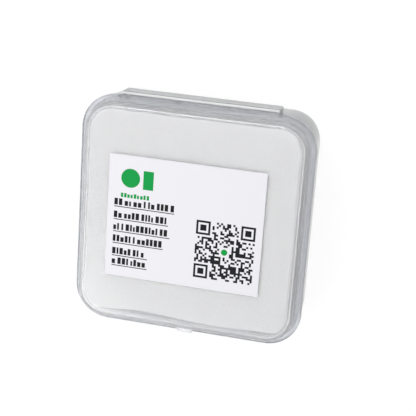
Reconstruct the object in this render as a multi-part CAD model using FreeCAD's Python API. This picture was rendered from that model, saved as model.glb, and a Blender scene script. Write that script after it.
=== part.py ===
import FreeCAD, Part

import math
import os

from FreeCAD import Vector

# A hinged square case of translucent polypropylene that holds one round protective window.
# The case lies on its base with the label upwards. X runs along the hinge, +Y points from the
# latch to the hinge, +Z up. The origin is the centre of the underside. All sizes in millimetres.

# Case, outside
case_width = 72.0
case_depth = 72.0
corner_radius = 9.7
base_height = 16.6
lid_height = 5.8
base_taper = 0.3
bottom_round = 2.0
lid_inset = 0.9
face_round = 1.2

# Walls
base_wall = 1.6
floor_thickness = 1.2
floor_chamfer = 0.9
lid_wall = 1.0
lid_plate = 1.2
plate_round = 0.6

# Rim: the lid's flange, the base's ledge under it, and the lip that the lid closes over
rim_outset = 1.2
flange_height = 1.15
ledge_height = 1.1
rim_chamfer = 0.3
parting_gap = 0.05
lip_thickness = 0.88
lip_height = 2.0
lip_root = 1.5
lip_clearance = 0.12
lip_chamfer = 0.3

# Hinge: a thin web along the back edge, carried by an apron on the base
hinge_width = 49.6
hinge_reach = 0.8
hinge_bead_radius = 0.4
hinge_gap = 0.1
web_thickness = 0.5
apron_height = 5.6
apron_thickness = 1.0
apron_rib_thickness = 0.8
apron_rib_count = 4
hinge_relief = 0.8
relief_land = 0.4

# Latch: a springy tab on the lid hooks under a wedge on the front wall
tab_width = 4.8
tab_thickness = 0.9
tab_gap = 1.1
tab_drop = 5.3
tab_side_gap = 0.3
finger_flare = 0.6
finger_flare_height = 1.2
hook_depth = 0.65
hook_height = 1.3
hook_drop = 3.3
wedge_clearance = 0.08
wedge_height = 1.7
wedge_gap = 0.2

# Window, a flat round plate of fused silica
lens_diameter = 37.0
lens_thickness = 7.0
lens_bevel = 0.4

# Foam
foam_side_gap = 0.5
nest_chamfer = 0.6
pocket_clearance = 0.4
lens_proud = 0.6
notch_radius = 9.0
notch_offset = 17.0
pad_side_gap = 0.7
pad_front_gap = 1.9
pad_lip_gap = 0.4
pad_clearance = 0.2

# Label
label_width = 50.0
label_height = 40.0
label_thickness = 0.12
label_x = -1.2
label_y = -0.2

# Worked out from the sizes above
half_depth = case_depth / 2
lid_bottom = base_height + parting_gap
case_height = base_height + lid_height
rim_edge = half_depth + rim_outset
pivot_y = rim_edge + hinge_reach
pivot_z = lid_bottom + flange_height / 2
wall_lean = base_taper / base_height
lid_inner = lid_inset + lid_wall
lip_outer = lid_inner + lip_clearance
lip_inset = lip_outer + lip_thickness
lip_top = base_height + lip_height
pad_bottom = lip_top + pad_lip_gap
lens_top = pad_bottom - pad_clearance
lens_bottom = lens_top - lens_thickness
nest_top = lens_top - lens_proud
nest_height = nest_top - floor_thickness
plate_underside = case_height - lid_plate


def rounded_outline(grow, z):
    """The case's outline at height z, moved outwards by grow (inwards when negative)."""
    x = case_width / 2 + grow
    y = case_depth / 2 + grow
    return rounded_rectangle(x, y, corner_radius + grow, z)


def rounded_rectangle(x, y, radius, z):
    """A closed wire of four sides and four quarter circles, from half sizes x and y."""
    edges = []
    corners = [(1, 1), (-1, 1), (-1, -1), (1, -1)]
    diagonal = radius * math.cos(math.pi / 4)
    for index, (sx, sy) in enumerate(corners):
        centre = Vector(sx * (x - radius), sy * (y - radius), z)
        along_x = centre + Vector(sx * radius, 0, 0)
        along_y = centre + Vector(0, sy * radius, 0)
        middle = centre + Vector(sx * diagonal, sy * diagonal, 0)
        start, end = (along_x, along_y) if index % 2 == 0 else (along_y, along_x)
        if edges:
            edges.append(Part.LineSegment(last, start).toShape())
        else:
            first = start
        edges.append(Part.Arc(start, middle, end).toShape())
        last = end
    edges.append(Part.LineSegment(last, first).toShape())
    return Part.Wire(edges)


def prism(wire, height):
    """The solid above a flat wire."""
    return Part.Face(wire).extrude(Vector(0, 0, height))


def tapered(lower, upper):
    """The solid between two wires of the same kind at different heights."""
    return Part.makeLoft([lower, upper], True, True)


def box(x_low, x_high, y_low, y_high, z_low, z_high):
    """A box between two corners."""
    size = (x_high - x_low, y_high - y_low, z_high - z_low)
    return Part.makeBox(*size, Vector(x_low, y_low, z_low))


def strip(profile, width, x_centre=0.0):
    """A closed profile of (y, z) points, run along X for width about x_centre."""
    points = [Vector(x_centre - width / 2, y, z) for y, z in profile]
    wire = Part.makePolygon(points + points[:1])
    return Part.Face(wire).extrude(Vector(width, 0, 0))


def edges_at(shape, z):
    """The edges that lie wholly at height z."""
    flat = []
    for edge in shape.Edges:
        bounds = edge.BoundBox
        if abs(bounds.ZMin - z) < 1e-4 and abs(bounds.ZMax - z) < 1e-4:
            flat.append(edge)
    return flat


def wall_at(z):
    """How far the base's outer wall stands from the middle plane at height z, front or back."""
    return half_depth - base_taper + wall_lean * z


def base_cavity():
    """The hollow of the tray, with a step in to the back of the lip."""
    step = base_wall - lip_inset
    shelf = base_height - lip_root
    below = shelf - abs(step)
    inside = base_wall + base_taper * (1 - below / base_height)
    lower = rounded_outline(-base_wall - base_taper, floor_thickness)
    upper = rounded_outline(-inside, below)
    hollow = tapered(lower, upper)
    hollow = hollow.makeChamfer(floor_chamfer, edges_at(hollow, floor_thickness))
    neck = tapered(rounded_outline(-inside, below), rounded_outline(-lip_inset, shelf))
    bore = prism(rounded_outline(-lip_inset, shelf), lip_root + lip_height + 1)
    return hollow.fuse([neck, bore])


def base_lip():
    """The upstanding lip inside the lid's wall, chamfered along its outer top edge."""
    lip = prism(rounded_outline(-lip_outer, base_height - lip_root), lip_root + lip_height)
    return lip.makeChamfer(lip_chamfer, edges_at(lip, lip_top))


def base_ledge():
    """The rim under the lid's flange, open at the front where the tab passes."""
    bottom = base_height - ledge_height
    ledge = prism(rounded_outline(rim_outset, bottom), ledge_height)
    ledge = ledge.makeChamfer(rim_chamfer, edges_at(ledge, bottom))
    half = tab_width / 2 + tab_side_gap
    front = -wall_at(bottom) + base_wall / 2
    return ledge.cut(box(-half, half, -rim_edge - 1, front, bottom - 1, base_height + 1))


def hinge_apron():
    """A plate that hangs from the ledge behind the back wall, joined to it by ribs."""
    outer = pivot_y + hinge_bead_radius
    bottom = base_height - apron_height
    half = hinge_width / 2
    ledge = box(-half, half, half_depth - base_wall / 2, outer, base_height - ledge_height, base_height)
    plate = box(-half, half, outer - apron_thickness, outer, bottom, base_height)
    pieces = [plate]
    pitch = (hinge_width - apron_rib_thickness) / (apron_rib_count - 1)
    for index in range(apron_rib_count):
        x = -half + index * pitch
        rib_back = wall_at(bottom) - base_wall / 2
        pieces.append(box(x, x + apron_rib_thickness, rib_back, outer, bottom, base_height))
    return ledge.fuse(pieces)


def wedge():
    """The catch on the front wall, flat below and sloped above."""
    hook_tip = rim_edge - (rim_outset - tab_gap) - hook_depth
    tip = hook_tip - wedge_clearance
    low = base_height - hook_drop + wedge_gap
    high = low + wedge_height
    root = wall_at(low) - base_wall / 2
    profile = [(-root, low), (-tip, low), (-tip, low + 0.3 * wedge_height), (-wall_at(high), high), (-root, high)]
    return strip(profile, tab_width)


def case_base():
    """The tray: drafted walls, lip, ledge, hinge apron and catch."""
    outer = tapered(rounded_outline(-base_taper, 0), rounded_outline(0, base_height))
    outer = outer.makeFillet(bottom_round, edges_at(outer, 0))
    body = outer.fuse([base_ledge(), base_lip(), hinge_apron(), wedge()])
    return body.cut(base_cavity()).removeSplitter()


def lid_flange():
    """The lid's outward rim with its hinge arm, notched beside the hinge."""
    flange = prism(rounded_outline(rim_outset, lid_bottom), flange_height)
    top = lid_bottom + flange_height
    flange = flange.makeChamfer(rim_chamfer, edges_at(flange, top))
    half = hinge_width / 2
    arm_end = pivot_y - hinge_bead_radius - hinge_gap
    arm = box(-half, half, half_depth - lid_inset - lid_wall / 2, arm_end, lid_bottom, top)
    flange = flange.fuse(arm)
    for side in (-1, 1):
        near, far = sorted((side * half, side * (half + hinge_relief)))
        notch = box(near, far, half_depth + relief_land, rim_edge + 1, lid_bottom - 1, top + 1)
        flange = flange.cut(notch)
    return flange


def latch_tab():
    """The tab that hangs from the flange, with an inward hook and a flared finger edge."""
    inner = half_depth + tab_gap
    outer = inner + tab_thickness
    top = lid_bottom + flange_height
    bottom = base_height - tab_drop
    hook_top = base_height - hook_drop
    hook_bottom = hook_top - hook_height
    flare_top = bottom + finger_flare_height
    root = half_depth - lid_inset - lid_wall / 2
    profile = [
        (-root, top),
        (-(outer - rim_chamfer), top),
        (-outer, top - rim_chamfer),
        (-outer, flare_top),
        (-(outer + finger_flare), bottom),
        (-(inner + finger_flare), bottom),
        (-inner, hook_bottom),
        (-(inner - hook_depth), hook_top - 0.3 * hook_height),
        (-(inner - hook_depth), hook_top),
        (-inner, hook_top),
        (-inner, lid_bottom),
        (-root, lid_bottom),
    ]
    return strip(profile, tab_width)


def case_lid():
    """The cover: a flat face with rounded edges, short walls set in from the base's, flange and latch tab."""
    height = lid_height - parting_gap
    outer = prism(rounded_outline(-lid_inset, lid_bottom), height)
    outer = outer.makeFillet(face_round, edges_at(outer, case_height))
    cavity = prism(rounded_outline(-lid_inner, lid_bottom - 1), plate_underside - lid_bottom + 1)
    cavity = cavity.makeFillet(plate_round, edges_at(cavity, plate_underside))
    return outer.fuse([lid_flange(), latch_tab()]).cut(cavity).removeSplitter()


def living_hinge():
    """The thinned web: a bead on the hinge line, standing on the ledge."""
    bead = Part.makeCylinder(
        hinge_bead_radius, hinge_width, Vector(-hinge_width / 2, pivot_y, pivot_z), Vector(1, 0, 0)
    )
    half = web_thickness / 2
    stem = box(-hinge_width / 2, hinge_width / 2, pivot_y - half, pivot_y + half, base_height, pivot_z)
    return bead.fuse(stem).removeSplitter()


def lens():
    """The flat round window with bevelled edges."""
    disc = Part.makeCylinder(lens_diameter / 2, lens_thickness, Vector(0, 0, lens_bottom))
    rims = edges_at(disc, lens_bottom) + edges_at(disc, lens_top)
    return disc.makeChamfer(lens_bevel, rims)


def foam_nest():
    """The lower foam block, with the window's pocket and a finger notch on either side."""
    block = prism(rounded_outline(-lip_inset - foam_side_gap, floor_thickness), nest_height)
    block = block.makeChamfer(nest_chamfer, edges_at(block, floor_thickness))
    pocket_radius = lens_diameter / 2 + pocket_clearance
    depth = nest_top - lens_bottom + 1
    cuts = [Part.makeCylinder(pocket_radius, depth, Vector(0, 0, lens_bottom))]
    for side in (-1, 1):
        centre = Vector(side * notch_offset, 0, lens_bottom)
        cuts.append(Part.makeCylinder(notch_radius, depth, centre))
    return block.cut(cuts[0].fuse(cuts[1:])).removeSplitter()


def lid_pad():
    """The foam pad bonded under the lid's plate, over the lip and the window, short of the front wall."""
    pad = prism(rounded_outline(-lid_inner - pad_side_gap, pad_bottom), plate_underside - pad_bottom)
    front = half_depth - lid_inner - pad_front_gap
    return pad.cut(box(-case_width, case_width, -case_depth, -front, pad_bottom - 1, case_height))


def label():
    """The paper sticker on the lid's face."""
    x_low = label_x - label_width / 2
    y_low = label_y - label_height / 2
    low = Vector(x_low, y_low, case_height)
    return Part.makeBox(label_width, label_height, label_thickness, low)


nodes = {
    "case_base": case_base(),
    "case_lid": case_lid(),
    "living_hinge": living_hinge(),
    "label": label(),
    "lens": lens(),
    "foam_nest": foam_nest(),
    "lid_pad": lid_pad(),
}

os.makedirs("parts", exist_ok=True)
for name, shape in nodes.items():
    shape.exportStep(f"parts/{name}.step")
    print(name, "valid", shape.isValid(), "solids", len(shape.Solids), "volume", round(shape.Volume, 1))
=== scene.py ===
"""A frosted, hinged lens case with its paper label, foam and window, dressed for its studio picture."""

import logging
import math
from dataclasses import dataclass
from enum import Enum

import bpy
import numpy as np
from mathutils import Matrix, Vector


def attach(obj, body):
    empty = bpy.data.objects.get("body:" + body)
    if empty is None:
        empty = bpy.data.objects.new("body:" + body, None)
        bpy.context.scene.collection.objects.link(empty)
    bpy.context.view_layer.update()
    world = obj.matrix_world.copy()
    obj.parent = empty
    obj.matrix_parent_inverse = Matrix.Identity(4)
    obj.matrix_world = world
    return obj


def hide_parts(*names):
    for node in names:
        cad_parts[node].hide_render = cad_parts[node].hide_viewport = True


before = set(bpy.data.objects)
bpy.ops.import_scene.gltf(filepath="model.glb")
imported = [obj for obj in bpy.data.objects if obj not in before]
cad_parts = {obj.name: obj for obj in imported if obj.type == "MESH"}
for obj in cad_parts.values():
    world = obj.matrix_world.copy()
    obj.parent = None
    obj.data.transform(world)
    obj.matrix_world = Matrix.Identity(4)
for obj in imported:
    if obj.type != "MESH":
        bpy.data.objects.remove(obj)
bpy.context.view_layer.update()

MM = 0.001

Tree = bpy.types.NodeTree
Socket = bpy.types.NodeSocket
Material = bpy.types.Material
Piece = bpy.types.Object

log = logging.getLogger("lens_case")


class Body(Enum):
    """The two rigid bodies of the case."""

    BASE = "base"
    LID = "lid"


class Slot(Enum):
    """The record's finishes."""

    PLASTIC = "frosted_polypropylene"
    PAPER = "label_paper"
    GLASS = "fused_silica"
    FOAM = "white_foam"


# Colours and nodes


def linear(hex_colour: str) -> tuple[float, float, float, float]:
    """Turns an sRGB hex colour into the linear values that shaders take.

    Args:
        hex_colour: six hex digits, such as "F3F3FA".

    Returns:
        Red, green, blue and an alpha of 1.
    """
    srgb = np.array([int(hex_colour[i:i + 2], 16) for i in (0, 2, 4)]) / 255
    value = np.where(srgb <= 0.04045, srgb / 12.92, ((srgb + 0.055) / 1.055) ** 2.4)
    return (*value.tolist(), 1.0)


def add_node(tree: Tree, kind: str, settings: dict | None = None, inputs: dict | None = None) -> bpy.types.Node:
    """Adds a node with its settings, socket values and links.

    Args:
        tree: the node tree.
        kind: the node's type name.
        settings: properties of the node itself.
        inputs: socket name or number to a value, or to the output socket that feeds it.

    Returns:
        The new node.
    """
    node = tree.nodes.new(kind)
    for name, value in (settings or {}).items():
        setattr(node, name, value)
    for name, value in (inputs or {}).items():
        socket = node.inputs[name]
        if isinstance(value, Socket):
            tree.links.new(value, socket)
        else:
            socket.default_value = value
    return node


def new_material(name: str) -> tuple[Material, Tree, Socket]:
    """Starts a material that has only its output.

    Args:
        name: the material's name.

    Returns:
        The material, its tree, and a socket with the Object coordinates.
    """
    material = bpy.data.materials.new(name)
    material.use_nodes = True
    tree = material.node_tree
    tree.nodes.clear()
    add_node(tree, "ShaderNodeOutputMaterial", {"name": "output"})
    return material, tree, add_node(tree, "ShaderNodeTexCoord").outputs["Object"]


def surface(tree: Tree, inputs: dict) -> None:
    """Ends a material with a Principled shader.

    Args:
        tree: the material's tree, with its output.
        inputs: the shader's values and links.
    """
    shader = add_node(tree, "ShaderNodeBsdfPrincipled", {}, inputs)
    tree.links.new(shader.outputs["BSDF"], tree.nodes["output"].inputs["Surface"])


def noise(tree: Tree, place: Socket, size_mm: float, detail: float) -> Socket:
    """Adds a noise pattern and gives its value.

    Args:
        tree: the node tree.
        place: the coordinates.
        size_mm: the pattern's scale.
        detail: how many finer patterns are laid over it.

    Returns:
        The pattern's value.
    """
    inputs = {"Vector": place, "Scale": 1 / (size_mm * MM), "Detail": detail}
    return add_node(tree, "ShaderNodeTexNoise", {}, inputs).outputs["Fac"]


def bump(tree: Tree, height: Socket, strength: float, depth_mm: float, under: Socket | None = None) -> Socket:
    """Adds a bump.

    Args:
        tree: the node tree.
        height: the pattern that gives the height.
        strength: how much of the bump is used.
        depth_mm: its depth.
        under: the bumped normal that this bump lies on, if there is one.

    Returns:
        The bumped normal.
    """
    inputs = {"Height": height, "Strength": strength, "Distance": depth_mm * MM}
    if under is not None:
        inputs["Normal"] = under
    return add_node(tree, "ShaderNodeBump", {}, inputs).outputs["Normal"]


def rescale(
    tree: Tree, value: Socket, onto: tuple[float, float] = (0.0, 1.0), within: tuple[float, float] = (0.0, 1.0)
) -> Socket:
    """Maps one range of a value onto another, and holds it at the ends.

    Args:
        tree: the node tree.
        value: the value.
        onto: what it becomes at the range's ends.
        within: the range.

    Returns:
        The new value.
    """
    inputs = {"Value": value, "From Min": within[0], "From Max": within[1], "To Min": onto[0], "To Max": onto[1]}
    return add_node(tree, "ShaderNodeMapRange", {}, inputs).outputs["Result"]


def blend(tree: Tree, share: Socket, first: str, second: str) -> Socket:
    """Blends two hex colours.

    Args:
        tree: the node tree.
        share: the second colour's share.
        first: the first colour.
        second: the second colour.

    Returns:
        The blended colour.
    """
    inputs = {"Factor": share, 6: linear(first), 7: linear(second)}
    return add_node(tree, "ShaderNodeMix", {"data_type": "RGBA"}, inputs).outputs[2]


@dataclass(frozen=True)
class FrostedPolypropylene:
    """Natural polypropylene, injection moulded: see-through with a haze, and a soft satin skin.

    The resin scatters a part of the light, more in the tray's thicker walls and most where the
    hinge was flexed white, so what lies behind shows as a blur. Haze and tint change between two
    heights, and the tint change is painted shade: the tray's deep walls are painted greyer than its
    rim, for the shade of its dark inside seen through them, and the cover's flange is painted a
    shade greyer than its face, and left clearer. The skin carries faint flow waves.
    """

    name: str
    see_through: tuple[float, float]
    colours: tuple[str, str]
    change_mm: tuple[float, float]
    ior: float = 1.49
    roughness: float = 0.14
    roughness_spread: float = 0.04
    wave_mm: float = 14.0
    grain_mm: float = 0.5

    def build(self) -> Material:
        """Builds the node tree of the plastic."""
        material, tree, place = new_material(self.name)
        waves = noise(tree, place, self.wave_mm, 1.0)
        grain = noise(tree, place, self.grain_mm, 2.0)
        soft = bump(tree, waves, 0.03, 0.3)
        blur = (self.roughness - self.roughness_spread, self.roughness + self.roughness_spread)
        height = add_node(tree, "ShaderNodeSeparateXYZ", {}, {"Vector": place}).outputs["Z"]
        low, high = self.change_mm
        rise = rescale(tree, height, within=(low * MM, high * MM))
        # The colour blended by height is painted shade: the lower, greyer colour stands in for shade, not for a
        # second tint of the resin.
        surface(tree, {
            "Base Color": blend(tree, rise, *self.colours), "IOR": self.ior, "Roughness": rescale(tree, waves, blur),
            "Transmission Weight": rescale(tree, rise, self.see_through), "Coat Weight": 0.3, "Coat Roughness": 0.12,
            "Normal": bump(tree, grain, 0.1, 0.02, soft),
        })
        return material


@dataclass(frozen=True)
class CoatedPaper:
    """White self-adhesive label paper, machine coated: matt, with a trace of fibre."""

    colour: str = "F7F6FB"
    fibre_colour: str = "F3F2F8"
    roughness: float = 0.55
    fibre_mm: float = 0.35

    def build(self) -> Material:
        """Builds the node tree of the paper."""
        material, tree, place = new_material("coated_paper")
        fibre = noise(tree, place, self.fibre_mm, 3.0)
        surface(tree, {
            "Base Color": blend(tree, fibre, self.colour, self.fibre_colour), "Roughness": self.roughness,
            "Normal": bump(tree, fibre, 0.15, 0.02),
        })
        return material


@dataclass(frozen=True)
class PrintingInk:
    """Thermal-transfer ink on paper: flat and dense, with next to no gloss, slightly uneven."""

    name: str
    colour: str
    worn: str
    speck_mm: float = 0.25

    def build(self) -> Material:
        """Builds the node tree of the ink."""
        material, tree, place = new_material(self.name)
        cover = rescale(tree, noise(tree, place, self.speck_mm, 2.0), within=(0.55, 0.8))
        tone = blend(tree, cover, self.colour, self.worn)
        surface(tree, {"Base Color": tone, "Roughness": 0.5, "Specular IOR Level": 0.12})
        return material


@dataclass(frozen=True)
class PolishedSilica:
    """Optically polished fused silica with an anti-reflection coating: clear, with a faint violet gloss."""

    colour: str = "F8FBFF"
    gloss_colour: str = "C9B6F2"
    ior: float = 1.45
    polish: tuple[float, float] = (0.01, 0.03)
    haze_mm: float = 16.667

    def build(self) -> Material:
        """Builds the node tree of the glass."""
        material, tree, place = new_material("polished_silica")
        surface(tree, {
            "Base Color": linear(self.colour), "IOR": self.ior, "Transmission Weight": 1.0,
            "Roughness": rescale(tree, noise(tree, place, self.haze_mm, 1.0), self.polish),
            "Specular Tint": linear(self.gloss_colour),
        })
        return material


@dataclass(frozen=True)
class ClosedCellFoam:
    """White polyethylene foam, cut from sheet: matt, with small burst cells."""

    colour: str = "F2F2F0"
    cell_colour: str = "E4E5E6"
    cell_mm: float = 0.7

    def build(self) -> Material:
        """Builds the node tree of the foam."""
        material, tree, place = new_material("closed_cell_foam")
        inputs = {"Vector": place, "Scale": 1 / (self.cell_mm * MM)}
        cells = add_node(tree, "ShaderNodeTexVoronoi", {}, inputs).outputs["Distance"]
        surface(tree, {
            "Base Color": blend(tree, cells, self.colour, self.cell_colour), "Roughness": 0.92,
            "Normal": bump(tree, cells, 0.6, 0.15),
        })
        return material


@dataclass(frozen=True)
class Palette:
    """One built material for each finish."""

    clear_plastic: Material
    hazy_plastic: Material
    whitened_plastic: Material
    paper: Material
    dark_ink: Material
    green_ink: Material
    glass: Material
    foam: Material

    @classmethod
    def build(cls) -> "Palette":
        """Builds all the finishes."""
        return cls(
            # The cover's flange takes a greyer tint than its face and walls: a painted shade on one moulding.
            clear_plastic=FrostedPolypropylene(
                "cover_polypropylene", (0.95, 0.8), ("F6F7FA", "FCFCFD"), (17.7, 18.1)
            ).build(),
            # The tray's grey tints, darkest low on its walls, are painted shade: they stand in for the shade of its
            # dark inside seen through the walls. Its haze is the resin's own.
            hazy_plastic=FrostedPolypropylene(
                "tray_polypropylene_painted_shade", (0.7, 0.95), ("BCBEC0", "E6E8EC"), (14.0, 16.4)
            ).build(),
            whitened_plastic=FrostedPolypropylene(
                "flexed_polypropylene", (0.25, 0.25), ("FCFCFD", "FCFCFD"), (16.0, 17.0)
            ).build(),
            paper=CoatedPaper().build(),
            dark_ink=PrintingInk("dark_ink", "1C1D20", "333439").build(),
            green_ink=PrintingInk("green_ink", "16A34C", "2BAD5C").build(),
            glass=PolishedSilica().build(),
            foam=ClosedCellFoam().build(),
        )


def background_rays(tree: Tree) -> Socket:
    """Finds the rays that see the white background: the camera's, and those off or through a surface.

    Args:
        tree: the floor's or the world's node tree.

    Returns:
        A value of 1 for those rays and 0 for the light that falls on the case.
    """
    rays = add_node(tree, "ShaderNodeLightPath").outputs
    sharp = add_node(
        tree, "ShaderNodeMath", {"operation": "MAXIMUM"}, {0: rays["Is Glossy Ray"], 1: rays["Is Transmission Ray"]}
    )
    seen = add_node(
        tree, "ShaderNodeMath", {"operation": "MAXIMUM"}, {0: rays["Is Camera Ray"], 1: sharp.outputs[0]}
    )
    return seen.outputs[0]


# Meshes


def circle(steps: int) -> np.ndarray:
    """Lists directions all round, anticlockwise from +X, as rows of x and y.

    Args:
        steps: number of directions.

    Returns:
        Unit vectors.
    """
    turn = np.linspace(0, 2 * math.pi, steps, endpoint=False)
    return np.stack([np.cos(turn), np.sin(turn)], axis=1)


def tube(rows: int, columns: int, first: int = 0) -> list:
    """Lists the faces of a stack of rings: the four-sided ones between rings, and a flat one over each end.

    Args:
        rows: number of rings.
        columns: points round each ring.
        first: number of the first ring's first point.

    Returns:
        A list of point numbers for each face.
    """
    row, column = np.meshgrid(np.arange(rows - 1), np.arange(columns), indexing="ij")
    after = (column + 1) % columns
    sides = np.stack(
        [row * columns + column, row * columns + after, (row + 1) * columns + after, (row + 1) * columns + column],
        axis=-1,
    )
    end = np.arange(columns) + first
    return [*(sides.reshape(-1, 4) + first).tolist(), end[::-1].tolist(), (end + (rows - 1) * columns).tolist()]


def new_piece(
    name: str,
    points: np.ndarray,
    faces: list,
    body: Body,
    material: Material,
    crease_deg: float = 38.0,
) -> Piece:
    """Makes a mesh object from points in millimetres and rides it on its body.

    Args:
        name: the piece's name.
        points: one row of x, y, z for each point, in millimetres.
        faces: lists of point numbers, anticlockwise seen from outside.
        body: the body it moves with.
        material: what it is dressed in.
        crease_deg: edges that turn by more than this stay crisp.

    Returns:
        The new object.
    """
    mesh = bpy.data.meshes.new(name)
    mesh.from_pydata((points * MM).tolist(), [], faces)
    mesh.shade_smooth()
    mesh.set_sharp_from_angle(angle=math.radians(crease_deg))
    mesh.materials.append(material)
    piece = bpy.data.objects.new(name, mesh)
    bpy.context.scene.collection.objects.link(piece)
    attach(piece, body.value)
    log.info("%s: %d points, %d faces, on %s", name, len(points), len(faces), body.value)
    return piece


@dataclass(frozen=True)
class Section:
    """A profile of corners, each (outward, height, tangent length), joined by true arcs.

    A corner's arc is a conic with the weight cos(turn / 2), which is an exact circle, and it
    starts and ends one tangent length from the corner. A point just before and after each arc
    keeps the flats flat.
    """

    corners: tuple[tuple[float, float, float], ...]
    steps: int = 5
    hold: float = 0.06

    def points(self) -> np.ndarray:
        """Works out the profile.

        Returns:
            Rows of (outward, height), from the first corner to the last.
        """
        corner = np.array(self.corners)
        place, reach = corner[:, :2], corner[1:-1, 2:]
        run = np.diff(place, axis=0)
        unit = run / np.linalg.norm(run, axis=1, keepdims=True)
        into, out = unit[:-1], unit[1:]
        middle = place[1:-1]
        start, end = middle - into * reach, middle + out * reach
        weight = np.sqrt(np.clip((1 + (into * out).sum(1, keepdims=True)) / 2, 1e-4, 1))[:, None]
        t = np.linspace(0, 1, self.steps + 1)[None, :, None]
        low, mid, high = (1 - t) ** 2, 2 * t * (1 - t) * weight, t**2
        arc = low * start[:, None] + mid * middle[:, None] + high * end[:, None]
        arc = arc / (low + mid + high)
        before = (start - into * self.hold)[:, None]
        after = (end + out * self.hold)[:, None]
        inner = np.concatenate([before, arc, after], axis=1).reshape(-1, 2)
        return np.vstack([place[:1], inner, place[-1:]])


class Side(Enum):
    """The sides of the case, by the quarter turns from +X."""

    RIGHT = 0
    BACK = 1
    LEFT = 2
    FRONT = 3


@dataclass(frozen=True)
class Outline:
    """A square with round corners, as stations: a centre and an outward direction for each.

    A point that stands `grow` outside the outline is centre + direction * (radius + grow).
    """

    half: float = 36.0
    radius: float = 9.7
    arc_steps: int = 22
    side_steps: int = 14
    ticks: tuple[float, ...] = ()

    def stations(self) -> tuple[np.ndarray, np.ndarray, np.ndarray, np.ndarray]:
        """Works out the stations, anticlockwise from the start of the right side.

        Returns:
            Centres, directions, the side's number, and the place along that side from its middle
            (measured the way that the stations run).
        """
        flat = self.half - self.radius
        along = np.unique(np.round(np.concatenate([np.linspace(-flat, flat, self.side_steps + 1), self.ticks]), 4))
        angle = np.linspace(0, math.pi / 2, self.arc_steps + 1)[1:-1]
        ones = np.ones_like(along)
        side_centre = np.stack([flat * ones, along], axis=1)
        side_unit = np.stack([ones, 0 * ones], axis=1)
        arc_centre = np.full((len(angle), 2), flat)
        arc_unit = np.stack([np.cos(angle), np.sin(angle)], axis=1)
        centre = np.vstack([side_centre, arc_centre])
        unit = np.vstack([side_unit, arc_unit])
        place = np.concatenate([along, flat + self.radius * angle])
        turned = [(centre, unit)]
        for _ in range(3):
            c, u = turned[-1]
            turned.append((np.stack([-c[:, 1], c[:, 0]], 1), np.stack([-u[:, 1], u[:, 0]], 1)))
        number = np.repeat(np.arange(4), len(place))
        return (
            np.vstack([c for c, _ in turned]),
            np.vstack([u for _, u in turned]),
            number,
            np.tile(place, 4),
        )


def swept_shell(outline: Outline, sections: list[np.ndarray], choice: np.ndarray) -> tuple[np.ndarray, list]:
    """Carries a profile round an outline, with its own profile at each station.

    Args:
        outline: the path.
        sections: profiles with equal numbers of (outward, height) points.
        choice: for each station, the number of the profile there.

    Returns:
        Points in millimetres and faces, closed by a flat face over each end of the profile.
    """
    centre, unit, _, _ = outline.stations()
    profile = np.stack(sections)[choice]
    reach = outline.radius + profile[..., 0]
    flat = centre[:, None] + unit[:, None] * reach[..., None]
    grid = np.concatenate([flat, profile[..., 1:]], axis=2).transpose(1, 0, 2)
    return grid.reshape(-1, 3), tube(*grid.shape[:2])


@dataclass
class Case:
    """Sizes that the two halves of the case share, in millimetres.

    Pieces that rest flat on clear plastic or under clear glass keep a film of air between them.
    The profiles of both halves run `core` inwards from the outline, where flat faces close them.
    """

    half: float = 36.0
    core: float = 8.6
    corner: float = 9.7
    base_height: float = 16.6
    lid_height: float = 5.8
    taper: float = 0.3
    base_wall: float = 1.6
    floor: float = 1.2
    lid_inset: float = 0.9
    lid_wall: float = 1.0
    plate: float = 1.2
    rim: float = 1.2
    flange_height: float = 1.15
    ledge_height: float = 1.1
    gap: float = 0.05
    air: float = 0.03
    lip_gap: float = 0.12
    lip: float = 0.88
    lip_height: float = 2.0
    hinge_half: float = 24.8
    relief: float = 0.8
    relief_land: float = 0.4
    pivot_reach: float = 0.8
    bead: float = 0.4
    tab_half: float = 2.4
    tab_side_gap: float = 0.3
    pad_clear: float = 0.4
    window_clear: float = 0.2
    step: float = 0.03

    @property
    def top(self) -> float:
        """Height of the lid's face."""
        return self.base_height + self.lid_height

    @property
    def lid_inner(self) -> float:
        """How far inside the outline the lid's wall ends."""
        return self.lid_inset + self.lid_wall

    @property
    def lip_inner(self) -> float:
        """How far inside the outline the lip ends."""
        return self.lid_inner + self.lip_gap + self.lip

    @property
    def pad_bottom(self) -> float:
        """Height of the lid pad's underside, just over the lip."""
        return self.base_height + self.lip_height + self.pad_clear

    @property
    def window_top(self) -> float:
        """Height of the window's upper face, just under the pad."""
        return self.pad_bottom - self.window_clear

    @property
    def pivot(self) -> tuple[float, float]:
        """The hinge line, as (y, z)."""
        return (self.half + self.rim + self.pivot_reach, self.base_height + self.gap + self.flange_height / 2)

    def lean(self, z: float) -> float:
        """Works out the draft of the base's wall.

        Args:
            z: height.

        Returns:
            How far the wall stands outside the outline there, which is less than nothing below the ledge.
        """
        return -self.taper + self.taper * z / self.base_height

    def around(self, *places: float) -> list[float]:
        """Finds where stations go for a step in the profile.

        Args:
            places: how far from a side's middle each step is.

        Returns:
            The places just before and just after each step, on both sides of the middle.
        """
        return [s * p + d for p in places for s in (-1, 1) for d in (-self.step / 2, self.step / 2)]


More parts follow.
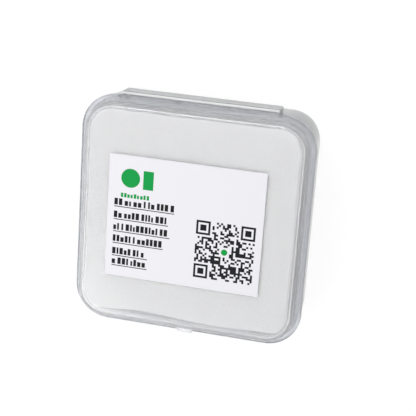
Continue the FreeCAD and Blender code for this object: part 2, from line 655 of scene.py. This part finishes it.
@dataclass
class BaseTray:
    """The deep half: drafted walls, ledge, lip, hinge apron with ribs, and latch wedge.

    Where a profile has no wedge or ledge, it keeps their corners on the plain wall, so that every
    profile has as many points.
    """

    case: Case
    bottom_round: float = 2.0
    apron_height: float = 5.6
    apron: float = 1.0
    rib: float = 0.8
    ribs: int = 4
    wedge_reach: float = 0.37
    wedge_low: float = 13.5
    wedge_land: float = 0.5
    wedge_high: float = 15.2
    shelf_drop: float = 1.5
    inner_round: float = 0.9

    def rib_places(self) -> np.ndarray:
        """Lists the middles of the apron's ribs along the hinge."""
        end = self.case.hinge_half - self.rib / 2
        return np.linspace(-end, end, self.ribs)

    def outline(self) -> Outline:
        """Makes the path round the tray, with stations at every step of its back and front."""
        c = self.case
        ribs = self.rib_places()
        edges = np.concatenate([ribs - self.rib / 2, ribs + self.rib / 2])
        ticks = c.around(c.tab_half, c.tab_half + c.tab_side_gap)
        ticks += [e + d for e in edges for d in (-c.step / 2, c.step / 2)]
        return Outline(c.half, c.corner, ticks=tuple(ticks))

    def section(self, kind: str) -> np.ndarray:
        """Makes the profile at one kind of place: from under the floor, over the rim, to the floor inside.

        Args:
            kind: plain, hinge, rib, gap or latch.

        Returns:
            The profile's points.
        """
        c = self.case
        top = c.base_height
        under = top - c.ledge_height
        drop = top - self.apron_height
        out = c.rim
        back = c.rim + c.pivot_reach + c.bead
        wedge = {
            "latch": [
                (c.lean(self.wedge_low), self.wedge_low, 0.03), (self.wedge_reach, self.wedge_low, 0.1),
                (self.wedge_reach, self.wedge_low + self.wedge_land, 0.1),
                (c.lean(self.wedge_high), self.wedge_high, 0.03),
            ],
            "rib": [(c.lean(z), z, 0.03) for z in (8.6, 9.1, 9.6, 10.1)],
        }.get(kind, [(c.lean(z), z, 0.03) for z in (13.2, 13.7, 14.2, 14.9)])
        ledge = {
            "plain": [(c.lean(under), under, 0.1), (0.72, under, 0.03), (0.9, under, 0.03),
                      (out, under, 0.2), (out, top, 0.12)],
            "hinge": [(c.lean(under), under, 0.1), (back - self.apron, under, 0.1),
                      (back - self.apron, drop, 0.12), (back, drop, 0.2), (back, top, 0.15)],
            "rib": [(c.lean(drop), drop, 0.1), (0.6, drop, 0.03), (1.2, drop, 0.03),
                    (back, drop, 0.2), (back, top, 0.15)],
        }.get(kind, [(c.lean(z), z, 0.03) for z in (15.45, 15.65, 15.9, 16.15)] + [(0.0, top, 0.1)])
        lip_in = -c.lip_inner
        lip_out = lip_in + c.lip
        shelf = top - self.shelf_drop
        inside = -c.base_wall
        below = shelf - (inside - lip_in)
        corners = [(-c.core, 0.0, 0.0), (-c.taper, 0.0, self.bottom_round), *wedge, *ledge]
        corners += [
            (lip_out, top, 0.08), (lip_out, top + c.lip_height, 0.25), (lip_in, top + c.lip_height, 0.15),
            (lip_in, shelf, 0.1), (inside + c.lean(below), below, 0.1),
            (inside - c.taper, c.floor, self.inner_round), (-c.core, c.floor, 0.0),
        ]
        return Section(tuple(corners)).points()

    def build(self, palette: Palette) -> Piece:
        """Builds the tray in place of its plain solid."""
        c = self.case
        outline = self.outline()
        _, _, side, place = outline.stations()
        kinds = ["plain", "hinge", "rib", "gap", "latch"]
        x = np.abs(place)
        choice = np.zeros(len(place), int)
        back = side == Side.BACK.value
        choice[back & (x < c.hinge_half)] = kinds.index("hinge")
        near = np.abs(place[:, None] - self.rib_places()[None]).min(1)
        choice[back & (near < self.rib / 2)] = kinds.index("rib")
        front = side == Side.FRONT.value
        choice[front & (x < c.tab_half + c.tab_side_gap)] = kinds.index("gap")
        choice[front & (x < c.tab_half)] = kinds.index("latch")
        points, faces = swept_shell(outline, [self.section(k) for k in kinds], choice)
        piece = new_piece("tray", points, faces, Body.BASE, palette.hazy_plastic)
        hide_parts("case_base")
        return piece


@dataclass
class Cover:
    """The shallow half: face, short walls, flange with hinge arm, and the latch tab."""

    case: Case
    face_round: float = 1.2
    plate_round: float = 0.6
    tab_gap: float = 1.1
    tab: float = 0.9
    tab_drop: float = 5.3
    flare: float = 0.6
    flare_height: float = 1.2
    hook: float = 0.65
    hook_drop: float = 3.3
    hook_height: float = 1.3
    hook_land: float = 0.4
    arm_gap: float = 0.1

    def outline(self) -> Outline:
        """Makes the path round the cover, with stations at the ends of the tab and the hinge arm."""
        c = self.case
        return Outline(c.half, c.corner, ticks=tuple(c.around(c.tab_half, c.hinge_half)))

    def section(self, kind: str) -> np.ndarray:
        """Makes the profile at one kind of place: from under the plate, over the flange, to the face.

        Args:
            kind: plain, notch, arm or tab.

        Returns:
            The profile's points.
        """
        c = self.case
        low = c.base_height + c.gap
        high = low + c.flange_height
        inner = -c.lid_inner
        plate = c.top - c.plate
        out = {
            "notch": c.relief_land, "arm": c.rim + c.pivot_reach - c.bead - self.arm_gap,
            "tab": self.tab_gap + self.tab,
        }.get(kind, c.rim)
        if kind == "tab":
            hook_top = c.base_height - self.hook_drop
            bottom = c.base_height - self.tab_drop
            near = self.tab_gap
            under = [
                (near, low, 0.1), (near, hook_top, 0.08), (near - self.hook, hook_top, 0.06),
                (near - self.hook, hook_top - self.hook_land, 0.1), (near, hook_top - self.hook_height, 0.1),
                (near + self.flare, bottom, 0.15), (out + self.flare, bottom, 0.2),
                (out, bottom + self.flare_height, 0.3),
            ]
        else:
            under = [(g, low, 0.02) for g in np.linspace(inner + 0.4, out - 0.4, 7)] + [(out, low, 0.1)]
        corners = [(-c.core, plate, 0.0), (inner, plate, self.plate_round), (inner, low, 0.1), *under]
        wall = -c.lid_inset
        corners += [(out, high, 0.25), (wall, high, 0.15), (wall, c.top, self.face_round), (-c.core, c.top, 0.0)]
        return Section(tuple(corners), steps=7).points()

    def build(self, palette: Palette) -> Piece:
        """Builds the cover in place of its plain solid."""
        c = self.case
        outline = self.outline()
        _, _, side, place = outline.stations()
        kinds = ["plain", "notch", "arm", "tab"]
        x = np.abs(place)
        choice = np.zeros(len(place), int)
        back = side == Side.BACK.value
        choice[back & (x < c.hinge_half + c.relief)] = kinds.index("notch")
        choice[back & (x < c.hinge_half)] = kinds.index("arm")
        choice[(side == Side.FRONT.value) & (x < c.tab_half)] = kinds.index("tab")
        points, faces = swept_shell(outline, [self.section(k) for k in kinds], choice)
        piece = new_piece("cover", points, faces, Body.LID, palette.clear_plastic)
        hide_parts("case_lid")
        return piece


@dataclass
class HingeWeb:
    """The thinned strip along the back: a bead on the hinge line with a stem down to the ledge."""

    case: Case
    stem: float = 0.5
    round_steps: int = 18
    stations: int = 9

    def build(self, palette: Palette) -> Piece:
        """Builds the web: an arc of the bead closed by the stem, run along the hinge."""
        c = self.case
        y, z = c.pivot
        meet = math.asin(self.stem / 2 / c.bead)
        angle = np.linspace(-math.pi / 2 + meet, 3 * math.pi / 2 - meet, self.round_steps)
        ring = np.stack([y + c.bead * np.cos(angle), z + c.bead * np.sin(angle)], axis=1)
        foot = np.array([[y - self.stem / 2, c.base_height + c.air], [y + self.stem / 2, c.base_height + c.air]])
        ring = np.vstack([ring, foot])
        rows, count = self.stations, len(ring)
        along = np.linspace(-c.hinge_half, c.hinge_half, rows)
        grid = np.concatenate(
            [np.broadcast_to(along[:, None, None], (rows, count, 1)), np.broadcast_to(ring, (rows, *ring.shape))],
            axis=2,
        )
        piece = new_piece(
            "hinge_web", grid.reshape(-1, 3), tube(rows, count), Body.BASE, palette.whitened_plastic
        )
        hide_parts("living_hinge")
        return piece


@dataclass
class Window:
    """The round protective window, a flat plate with bevelled edges."""

    case: Case
    radius: float = 18.5
    thickness: float = 7.0
    bevel: float = 0.4
    margin: float = 0.5
    segments: int = 160

    def build(self, palette: Palette) -> Piece:
        """Builds the window: its edge profile turned about Z, with a flat face over each end."""
        top = self.case.window_top
        low = top - self.thickness + self.case.air
        flat = self.radius - self.bevel
        edge = np.array([
            (flat - self.margin, low), (flat, low), (self.radius, low + self.bevel),
            (self.radius, top - self.bevel), (flat, top), (flat - self.margin, top),
        ])
        across = edge[:, None, :1] * circle(self.segments)[None]
        height = np.broadcast_to(edge[:, None, 1:], (len(edge), self.segments, 1))
        points = np.concatenate([across, height], axis=2).reshape(-1, 3)
        faces = tube(len(edge), self.segments)
        piece = new_piece("window", points, faces, Body.BASE, palette.glass, crease_deg=30)
        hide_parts("lens")
        return piece


@dataclass
class Foam:
    """The two foam pieces: the nest with its pocket, and the pad bonded inside the lid.

    The front of the pad was cut by hand: its line has a gentle wave and one shallow hollow, left of
    the middle. Flat faces close the blocks inside the radius `core`.
    """

    case: Case
    core: float = 4.0
    nest_gap: float = 0.5
    proud: float = 0.6
    pocket: float = 6.4
    pocket_radius: float = 18.9
    notch_radius: float = 9.0
    notch_offset: float = 17.0
    pad_side_gap: float = 0.7
    pad_front_gap: float = 1.9
    pad_air: float = 0.08
    edge: float = 0.6
    waver: float = 0.25
    bulge: float = 0.12
    cut_wave: float = 0.3
    cut_wave_length: float = 6.0
    hollow: float = 0.6
    hollow_place: float = -15.0
    hollow_width: float = 9.0
    segments: int = 240

    def square_radius(self, angle: np.ndarray, half: float, corner: float) -> np.ndarray:
        """Distance from the middle to a round-cornered square's edge, in each direction.

        The edge is a straight side, or where the direction meets a corner the far root of
        r^2 - 2 r (d . c) + c . c - corner^2 = 0, with c the corner's centre.

        Args:
            angle: directions.
            half: half the square's side.
            corner: its corner radius.

        Returns:
            One distance for each direction.
        """
        x, y = np.abs(np.cos(angle)), np.abs(np.sin(angle))
        side = half / np.maximum(x, y)
        centre = half - corner
        along = centre * (x + y)
        arc = along + np.sqrt(np.maximum(along**2 - 2 * centre**2 + corner**2, 0))
        meets = np.minimum(x, y) * side > centre
        return np.where(meets, arc, side)

    def pocket_edge(self, angle: np.ndarray) -> np.ndarray:
        """Finds the pocket's edge: a circle joined by the two finger notches.

        Args:
            angle: directions.

        Returns:
            One distance from the middle for each direction.
        """
        x, y = np.abs(np.cos(angle)), np.abs(np.sin(angle))
        root = self.notch_radius**2 - (self.notch_offset * y) ** 2
        notch = np.where(root > 0, self.notch_offset * x + np.sqrt(np.maximum(root, 0)), 0)
        return np.maximum(self.pocket_radius, notch)

    def cut_front(self, radius: np.ndarray) -> np.ndarray:
        """Cuts a ring short of the front wall, along a wavy line.

        The line's distance is the straight one, with a sine wave, less a bell curve left of the
        middle. The cut takes the smaller of the ring's own reach and distance / |sin| in front.

        Args:
            radius: distance from the middle in each direction.

        Returns:
            The distances after the cut.
        """
        angle = self.angles()
        sides = 0.2
        beyond = 1e3
        line = self.case.half - self.case.lid_inner - self.pad_front_gap
        x = line * np.cos(angle) / np.maximum(np.abs(np.sin(angle)), sides)
        line = line + self.cut_wave * np.sin(x / self.cut_wave_length)
        line = line - self.hollow * np.exp(-(((x - self.hollow_place) / self.hollow_width) ** 2))
        front = np.where(np.sin(angle) < -sides, line / np.maximum(-np.sin(angle), sides), beyond)
        return np.minimum(radius, front)

    def soften(self, angle: np.ndarray, amount: float, phase: float) -> np.ndarray:
        """Works out the slight waver of a cut edge, a sum of sines round the block.

        Args:
            angle: directions.
            amount: about how deep the waver goes.
            phase: shifts the sines, so that two blocks differ.

        Returns:
            One distance for each direction, which is inwards or nothing.
        """
        waver = np.sin(5 * angle + phase) + 0.6 * np.sin(11 * angle + 2.1 * phase) + 0.4 * np.sin(23 * angle)
        return amount * (waver / 2 - 1) / 2

    def rings(self, rows: list[tuple[np.ndarray, float]]) -> tuple[np.ndarray, list]:
        """Closes a stack of rings, each (radius by direction, height), into a block.

        Args:
            rows: from the middle of the underside, round the outside, to the middle of the top.

        Returns:
            Points in millimetres and faces.
        """
        ring = circle(self.segments)
        points = np.concatenate([np.column_stack([ring * r[:, None], np.full(self.segments, z)]) for r, z in rows])
        return points, tube(len(rows), self.segments)

    def angles(self) -> np.ndarray:
        """Lists the directions of the rings' points."""
        return np.linspace(0, 2 * math.pi, self.segments, endpoint=False)

    def block(self, half: float, corner: float, low: float, high: float, phase: float) -> list:
        """Lists the rings of a block's underside, rounded edges and sides.

        Args:
            half: half the block's side.
            corner: its corner radius.
            low: height of its underside.
            high: height of its top.
            phase: shifts the waver of its sides.

        Returns:
            Rings of (radius by direction, height), from the middle of the underside to the top's edge.
        """
        angle = self.angles()
        wave = self.soften(angle, self.waver, phase)
        rows = [(np.full(self.segments, self.core), low)]
        bend = np.linspace(0, math.pi / 2, 5)
        for b in bend:
            size = half - self.edge * (1 - math.sin(b))
            rows.append((self.square_radius(angle, size, corner) + wave, low + self.edge * (1 - math.cos(b))))
        for share in (0.3, 0.7):
            bulge = self.bulge * math.sin(math.pi * share)
            rows.append((self.square_radius(angle, half - bulge, corner) + wave, low + share * (high - low)))
        for b in bend[::-1]:
            size = half - self.edge * (1 - math.sin(b))
            rows.append((self.square_radius(angle, size, corner) + wave, high - self.edge * (1 - math.cos(b))))
        return rows

    def build(self, palette: Palette) -> list[Piece]:
        """Builds both foam pieces in place of their plain solids."""
        c = self.case
        angle = self.angles()
        inset = c.lip_inner + self.nest_gap
        low, high = c.floor + c.air, c.window_top - self.proud
        seat = high - self.pocket
        rows = self.block(c.half - inset, c.corner - inset, low, high, 0.7)
        hole = self.pocket_edge(angle)
        rim = ((0.5, high), (0.15, high - 0.08), (0.0, high - 0.35))
        foot = ((0.0, seat + 0.3), (-0.12, seat + 0.05), (-0.5, seat))
        rows += [(hole + grow, z) for grow, z in rim + foot]
        rows.append((np.full(self.segments, self.core), seat))
        points, faces = self.rings(rows)
        nest = new_piece("nest", points, faces, Body.BASE, palette.foam)
        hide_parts("foam_nest")

        inset = c.lid_inner + self.pad_side_gap
        top = c.top - c.plate - self.pad_air
        rows = self.block(c.half - inset, c.corner - inset, c.pad_bottom, top, 2.3)
        rows = [(self.cut_front(radius), z) for radius, z in rows]
        rows.append((np.full(self.segments, self.core), top))
        points, faces = self.rings(rows)
        pad = new_piece("pad", points, faces, Body.LID, palette.foam)
        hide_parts("lid_pad")
        return [nest, pad]


@dataclass
class Label:
    """The paper sticker and its print, which is plain blocks with nothing to read.

    Places on the label run across and down from its top left corner, in millimetres. Each text row
    has its foot and its length.
    """

    case: Case
    width: float = 50.0
    height: float = 40.0
    paper: float = 0.075
    ink: float = 0.015
    centre: tuple[float, float] = (-1.2, -0.2)
    dots: tuple[tuple[float, float, float], ...] = ((7.1, 7.3, 3.05), (38.4, 27.0, 1.0))
    block: tuple[float, float, float, float] = (11.2, 4.4, 14.5, 10.4)
    text_left: float = 2.2
    text_rows: tuple[tuple[float, float], ...] = (
        (16.4, 19.5), (20.6, 17.75), (24.6, 18.5), (28.5, 16.5), (32.7, 11.6), (36.0, 11.6)
    )
    bar_widths: tuple[float, ...] = (0.6, 0.9, 1.1)
    bar_heights: tuple[float, ...] = (1.55, 2.15, 2.15)
    bar_gaps: tuple[float, ...] = (0.36, 0.36, 0.36, 0.8)
    rule_drop: float = 0.4
    rule: float = 0.26
    code_place: tuple[float, float] = (29.0, 17.6)
    code_side: float = 18.8
    code_cells: int = 29
    seed: int = 7

    def place(self, across: np.ndarray, down: np.ndarray) -> tuple[np.ndarray, np.ndarray]:
        """Turns places on the label into x and y.

        Args:
            across: distances from its left edge.
            down: distances from its top edge.

        Returns:
            The x and the y of each place.
        """
        return self.centre[0] - self.width / 2 + across, self.centre[1] + self.height / 2 - down

    def slabs(self, boxes: np.ndarray, low: float, high: float) -> tuple[np.ndarray, list]:
        """Makes thin boxes from their edges on the label.

        Args:
            boxes: rows of left, top, right, bottom, from the label's top left corner.
            low: height of their undersides.
            high: height of their tops.

        Returns:
            Points in millimetres and faces.
        """
        left, top = self.place(boxes[:, 0], boxes[:, 1])
        right, bottom = self.place(boxes[:, 2], boxes[:, 3])
        around = ((left, bottom), (right, bottom), (right, top), (left, top))
        flat = np.stack([np.stack(corner, axis=1) for corner in around], axis=1)
        rise = np.array([low, high])
        grid = np.concatenate([
            np.broadcast_to(flat[:, None], (len(boxes), 2, 4, 2)),
            np.broadcast_to(rise[None, :, None, None], (len(boxes), 2, 4, 1)),
        ], axis=3)
        corner = np.array([[3, 2, 1, 0], [4, 5, 6, 7], [0, 1, 5, 4], [1, 2, 6, 5], [2, 3, 7, 6], [3, 0, 4, 7]])
        faces = (corner[None] + 8 * np.arange(len(boxes))[:, None, None]).reshape(-1, 4)
        return grid.reshape(-1, 3), faces.tolist()

    def text_marks(self, draw: np.random.Generator) -> np.ndarray:
        """Makes rows of plain solid blocks in two heights, with a thin rule under each row.

        Args:
            draw: source of the widths, heights and gaps.

        Returns:
            Rows of left, top, right, bottom.
        """
        boxes = []
        for base, length in self.text_rows:
            x, end = self.text_left, self.text_left + length
            while x < end - max(self.bar_widths):
                far = x + draw.choice(self.bar_widths)
                boxes.append((x, base - draw.choice(self.bar_heights), far, base))
                x = far + draw.choice(self.bar_gaps)
            boxes.append((self.text_left, base + self.rule_drop, end, base + self.rule_drop + self.rule))
        return np.array(boxes)

    def code_blocks(self, draw: np.random.Generator) -> np.ndarray:
        """Makes a square of scattered cells with a frame in three corners, which encodes nothing.

        Args:
            draw: source of the cells.

        Returns:
            Rows of left, top, right, bottom, one for each run of dark cells.
        """
        cells = self.code_cells
        left, top = self.code_place
        pitch = self.code_side / cells
        dark = draw.random((cells, cells)) < 0.5
        row, column = np.mgrid[0:cells, 0:cells]
        for r, c in ((3, 3), (3, cells - 4), (cells - 4, 3)):
            ring = np.maximum(abs(row - r), abs(column - c))
            near = ring <= 4
            dark = np.where(near, (ring == 3) | (ring <= 1), dark)
        middle = np.maximum(abs(row - cells // 2), abs(column - cells // 2)) <= 2
        dark &= ~middle
        step = np.diff(np.pad(dark, ((0, 0), (1, 1))).astype(int), axis=1)
        start_row, start = np.nonzero(step == 1)
        _, end = np.nonzero(step == -1)
        return np.stack([
            left + start * pitch, top + start_row * pitch, left + end * pitch, top + (start_row + 1) * pitch
        ], axis=1)

    def emblem_blocks(self, draw: np.random.Generator) -> np.ndarray:
        """Makes the green block beside the dot, and a row of small green blocks under both.

        Args:
            draw: source of the small blocks' sizes.

        Returns:
            Rows of left, top, right, bottom.
        """
        first, last, pitch, foot = 4.2, 13.2, 1.05, 13.7
        left = np.arange(first, last, pitch)
        tall = draw.choice([1.1, 1.4, 1.4], len(left))
        wide = draw.uniform(0.65, 0.85, len(left))
        row = np.stack([left, foot - tall, left + wide, np.full(len(left), foot)], axis=1)
        return np.vstack([row, [self.block]])

    def discs(self, low: float, high: float) -> tuple[np.ndarray, list]:
        """Makes the thin round dots: two rings each, closed by flat faces.

        Args:
            low: height of their undersides.
            high: height of their tops.

        Returns:
            Points in millimetres and faces.
        """
        ring = circle(48)
        points, faces = [], []
        for across, down, radius in self.dots:
            faces += tube(2, len(ring), len(points) * len(ring))
            flat = np.array(self.place(np.array(across), np.array(down))) + radius * ring
            points += [np.column_stack([flat, np.full(len(ring), z)]) for z in (low, high)]
        return np.concatenate(points), faces

    def build(self, palette: Palette) -> list[Piece]:
        """Builds the paper and its two inks."""
        low = self.case.top + self.case.air
        high = low + self.paper
        draw = np.random.default_rng(self.seed)
        sheet = np.array([(0.0, 0.0, self.width, self.height)])
        points, faces = self.slabs(sheet, low, high)
        paper = new_piece("label_sheet", points, faces, Body.LID, palette.paper)
        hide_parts("label")
        dark = np.vstack([self.text_marks(draw), self.code_blocks(draw)])
        points, faces = self.slabs(dark, high, high + self.ink)
        black = new_piece("label_dark_print", points, faces, Body.LID, palette.dark_ink)
        points, faces = self.slabs(self.emblem_blocks(draw), high, high + self.ink)
        round_points, round_faces = self.discs(high, high + self.ink)
        faces += [[i + len(points) for i in f] for f in round_faces]
        points = np.vstack([points, round_points])
        green = new_piece("label_green_print", points, faces, Body.LID, palette.green_ink)
        return [paper, black, green]


@dataclass(frozen=True)
class Lamp:
    """A square lamp that faces the case: its place and side in metres, and its power in watts."""

    name: str
    place: tuple[float, float, float]
    size: float
    power: float

    def build(self) -> None:
        """Adds the lamp to the scene."""
        lamp = bpy.data.lights.new(self.name, "AREA")
        lamp.size = self.size
        lamp.energy = self.power
        holder = bpy.data.objects.new(self.name, lamp)
        bpy.context.scene.collection.objects.link(holder)
        holder.location = self.place
        holder.rotation_euler = (-Vector(self.place)).to_track_quat("-Z", "Y").to_euler()


@dataclass
class Studio:
    """A pale table, soft light from the left and from behind, and the camera of the picture.

    The room's light falls mostly from `bright_side`, and its level goes from the first to the second
    of `room_levels` towards that side.
    """

    floor_size: float = 3.0
    floor_glow: float = 0.92
    bright_side: tuple[float, float, float] = (-0.8, -0.5, 0.33)
    room_levels: tuple[float, float] = (0.55, 0.74)
    lamps: tuple[Lamp, ...] = (
        Lamp("soft_left", (-0.38, -0.34, 0.42), 0.50, 1.7),
        Lamp("soft_back", (-0.10, 0.50, 0.40), 0.24, 1.4),
    )
    lens_mm: float = 103.85
    position: tuple[float, float, float] = (0.084356, 0.117547, 0.365003)
    right: tuple[float, float, float] = (0.967534, 0.068452, -0.243295)
    down: tuple[float, float, float] = (0.136982, -0.951004, 0.277184)

    def build_floor(self) -> Piece:
        """Builds the table top, which glows white to the camera and takes the case's soft shadow."""
        half = self.floor_size / 2
        mesh = bpy.data.meshes.new("table_top")
        mesh.from_pydata([(-half, -half, 0), (half, -half, 0), (half, half, 0), (-half, half, 0)], [], [(0, 1, 2, 3)])
        floor = bpy.data.objects.new("table_top", mesh)
        bpy.context.scene.collection.objects.link(floor)
        material, tree, _ = new_material("table_top")
        plain = add_node(tree, "ShaderNodeBsdfDiffuse", {}, {"Color": linear("D8D8D8")})
        shade = add_node(tree, "ShaderNodeBsdfDiffuse", {}, {"Color": linear("626262")})
        glow = add_node(tree, "ShaderNodeEmission", {}, {"Color": linear("FFFFFF"), "Strength": self.floor_glow})
        white = add_node(tree, "ShaderNodeAddShader", {}, {0: shade.outputs[0], 1: glow.outputs[0]})
        mix = add_node(
            tree, "ShaderNodeMixShader", {}, {0: background_rays(tree), 1: plain.outputs[0], 2: white.outputs[0]}
        )
        tree.links.new(mix.outputs[0], tree.nodes["output"].inputs["Surface"])
        mesh.materials.append(material)
        return floor

    def build_world(self) -> None:
        """Builds the room's light: white, brighter from the left and front than from the right and back."""
        world = bpy.data.worlds.new("soft_room")
        bpy.context.scene.world = world
        world.use_nodes = True
        tree = world.node_tree
        tree.nodes.clear()
        output = add_node(tree, "ShaderNodeOutputWorld")
        direction = add_node(tree, "ShaderNodeTexCoord").outputs["Generated"]
        dot = add_node(
            tree, "ShaderNodeVectorMath", {"operation": "DOT_PRODUCT"}, {0: direction, 1: self.bright_side}
        )
        level = rescale(tree, dot.outputs["Value"], self.room_levels, within=(-1.0, 1.0))
        light = add_node(tree, "ShaderNodeBackground", {}, {"Strength": level})
        seen = add_node(tree, "ShaderNodeBackground", {}, {"Strength": 1.0})
        mix = add_node(
            tree, "ShaderNodeMixShader", {}, {0: background_rays(tree), 1: light.outputs[0], 2: seen.outputs[0]}
        )
        tree.links.new(mix.outputs[0], output.inputs["Surface"])

    def build_camera(self) -> None:
        """Sets the camera where the picture was taken, from its right and down directions."""
        lens = bpy.data.cameras.new("camera")
        lens.lens = self.lens_mm
        lens.sensor_width = 36.0
        lens.clip_start, lens.clip_end = 0.01, 20.0
        camera = bpy.data.objects.new("camera", lens)
        bpy.context.scene.collection.objects.link(camera)
        right, up = Vector(self.right), -Vector(self.down)
        back = right.cross(up)
        turn = Matrix((right, up, back)).transposed().to_4x4()
        camera.matrix_world = Matrix.Translation(self.position) @ turn
        bpy.context.scene.camera = camera

    def build(self) -> None:
        """Builds the whole set."""
        self.build_floor()
        self.build_world()
        for lamp in self.lamps:
            lamp.build()
        self.build_camera()
        bpy.context.scene.view_settings.view_transform = "Standard"
        bpy.context.scene.cycles.blur_glossy = 0.0


def main() -> None:
    """Builds the case piece by piece, then the set round it."""
    logging.basicConfig(level=logging.INFO, format="%(name)s: %(message)s")
    palette = Palette.build()
    case = Case()
    BaseTray(case).build(palette)
    Cover(case).build(palette)
    HingeWeb(case).build(palette)
    Window(case).build(palette)
    Foam(case).build(palette)
    Label(case).build(palette)
    Studio().build()


if __name__ == "__main__":
    main()
